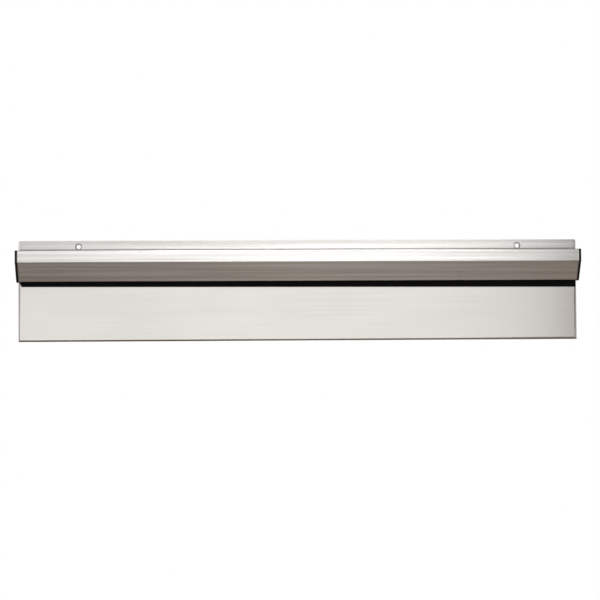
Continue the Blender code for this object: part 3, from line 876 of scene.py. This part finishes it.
def makeSoftbox():
    data = bpy.data.lights.new("key_softbox", "AREA")
    data.shape = "RECTANGLE"
    data.size, data.size_y = studio["lampSize"]
    data.energy = studio["lampPower"]
    lamp = bpy.data.objects.new("key_softbox", data)
    bpy.context.scene.collection.objects.link(lamp)
    place = Vector(studio["lampPlace"])
    lamp.location = place
    lamp.rotation_euler = (Vector(studio["lampAim"]) - place).to_track_quat("-Z", "Y").to_euler()
    lamp.visible_glossy = False  # the steel mirrors the booth only


def byAngle(tree, angle, stops, span):
    # A colour that follows an angle in radians, by stops in degrees over the span
    share = addNode(tree, "ShaderNodeMapRange", inputs={
        "From Min": -math.radians(span), "From Max": math.radians(span)}, links={"Value": (angle, 0)})
    return addNode(tree, "ShaderNodeValToRGB", {
        "stops": [((degrees + span) / (2 * span), linear(color)) for degrees, color in stops]},
        links={"Fac": (share, "Result")})


def makeWorld():
    # The camera and matt surfaces see plain white. The steel mirrors a booth: bright walls with darker
    # gaps at both sides, a dull floor and ceiling, and a soft box above the camera.
    world = bpy.data.worlds.new("product_booth")
    bpy.context.scene.world = world
    world.use_nodes = True
    tree = world.node_tree
    tree.nodes.clear()
    coords = addNode(tree, "ShaderNodeTexCoord")
    split = addNode(tree, "ShaderNodeSeparateXYZ", links={"Vector": (coords, "Generated")})
    behind = addNode(tree, "ShaderNodeMath", {"operation": "MULTIPLY"}, inputs={1: -1.0},
                     links={0: (split, "Y")})
    turn = addNode(tree, "ShaderNodeMath", {"operation": "ARCTAN2"},
                   links={0: (split, "X"), 1: (behind, 0)})
    rise = addNode(tree, "ShaderNodeMath", {"operation": "ARCSINE"}, links={0: (split, "Z")})
    colors = {}
    for key in ("floorHeights", "ceilingHeights", "heights", "boxHeights"):
        colors[key] = byAngle(tree, rise, studio[key], 90)
    for key in ("floorTurns", "turns", "boxTurns"):
        colors[key] = byAngle(tree, turn, studio[key], 180)
    ground = addNode(tree, "ShaderNodeVectorMath", {"operation": "MULTIPLY_ADD"}, links={
        0: (colors["floorHeights"], "Color"), 1: (colors["floorTurns"], "Color"),
        2: (colors["ceilingHeights"], "Color")})
    lit = addNode(tree, "ShaderNodeVectorMath", {"operation": "MULTIPLY_ADD"}, links={
        0: (colors["heights"], "Color"), 1: (colors["turns"], "Color"), 2: (ground, 0)})
    box = addNode(tree, "ShaderNodeVectorMath", {"operation": "MULTIPLY"}, links={
        0: (colors["boxHeights"], "Color"), 1: (colors["boxTurns"], "Color")})
    withBox = addNode(tree, "ShaderNodeVectorMath", {"operation": "MULTIPLY_ADD"},
                      inputs={1: (studio["boxLevel"],) * 3}, links={0: (box, 0), 2: (lit, 0)})
    booth = addNode(tree, "ShaderNodeBackground", inputs={"Strength": studio["roomLevel"]},
                    links={"Color": (withBox, 0)})
    white = addNode(tree, "ShaderNodeBackground", inputs={"Color": (1, 1, 1, 1), "Strength": 1.0})
    path = addNode(tree, "ShaderNodeLightPath")
    plain = addNode(tree, "ShaderNodeMath", {"operation": "MAXIMUM"}, links={
        0: (path, "Is Camera Ray"), 1: (path, "Is Diffuse Ray")})
    shown = addNode(tree, "ShaderNodeMixShader", links={
        "Fac": (plain, 0), 1: (booth, "Background"), 2: (white, "Background")})
    addNode(tree, "ShaderNodeOutputWorld", links={"Surface": (shown, "Shader")})


def makeFloor():
    shape = bmesh.new()
    bmesh.ops.create_circle(shape, cap_ends=True, segments=studio["floorSides"],
                            radius=studio["floorRadius"],
                            matrix=Matrix.Translation((0, 0, studio["floorHeight"])))
    floor = toObject("studio_floor", shape)
    material, tree = newMaterial("matt_pale_paper")
    shader = addNode(tree, "ShaderNodeBsdfPrincipled", inputs={
        "Base Color": linear(studio["floorColor"]), "Roughness": studio["floorRoughness"]})
    addNode(tree, "ShaderNodeOutputMaterial", links={"Surface": (shader, "BSDF")})
    floor.data.materials.append(material)
    floor.visible_glossy = False  # the booth's own dark floor is what the steel mirrors


makeCamera()
makeWorld()
makeFloor()
makeSoftbox()
bpy.context.scene.view_settings.view_transform = "Standard"
print("studio made")
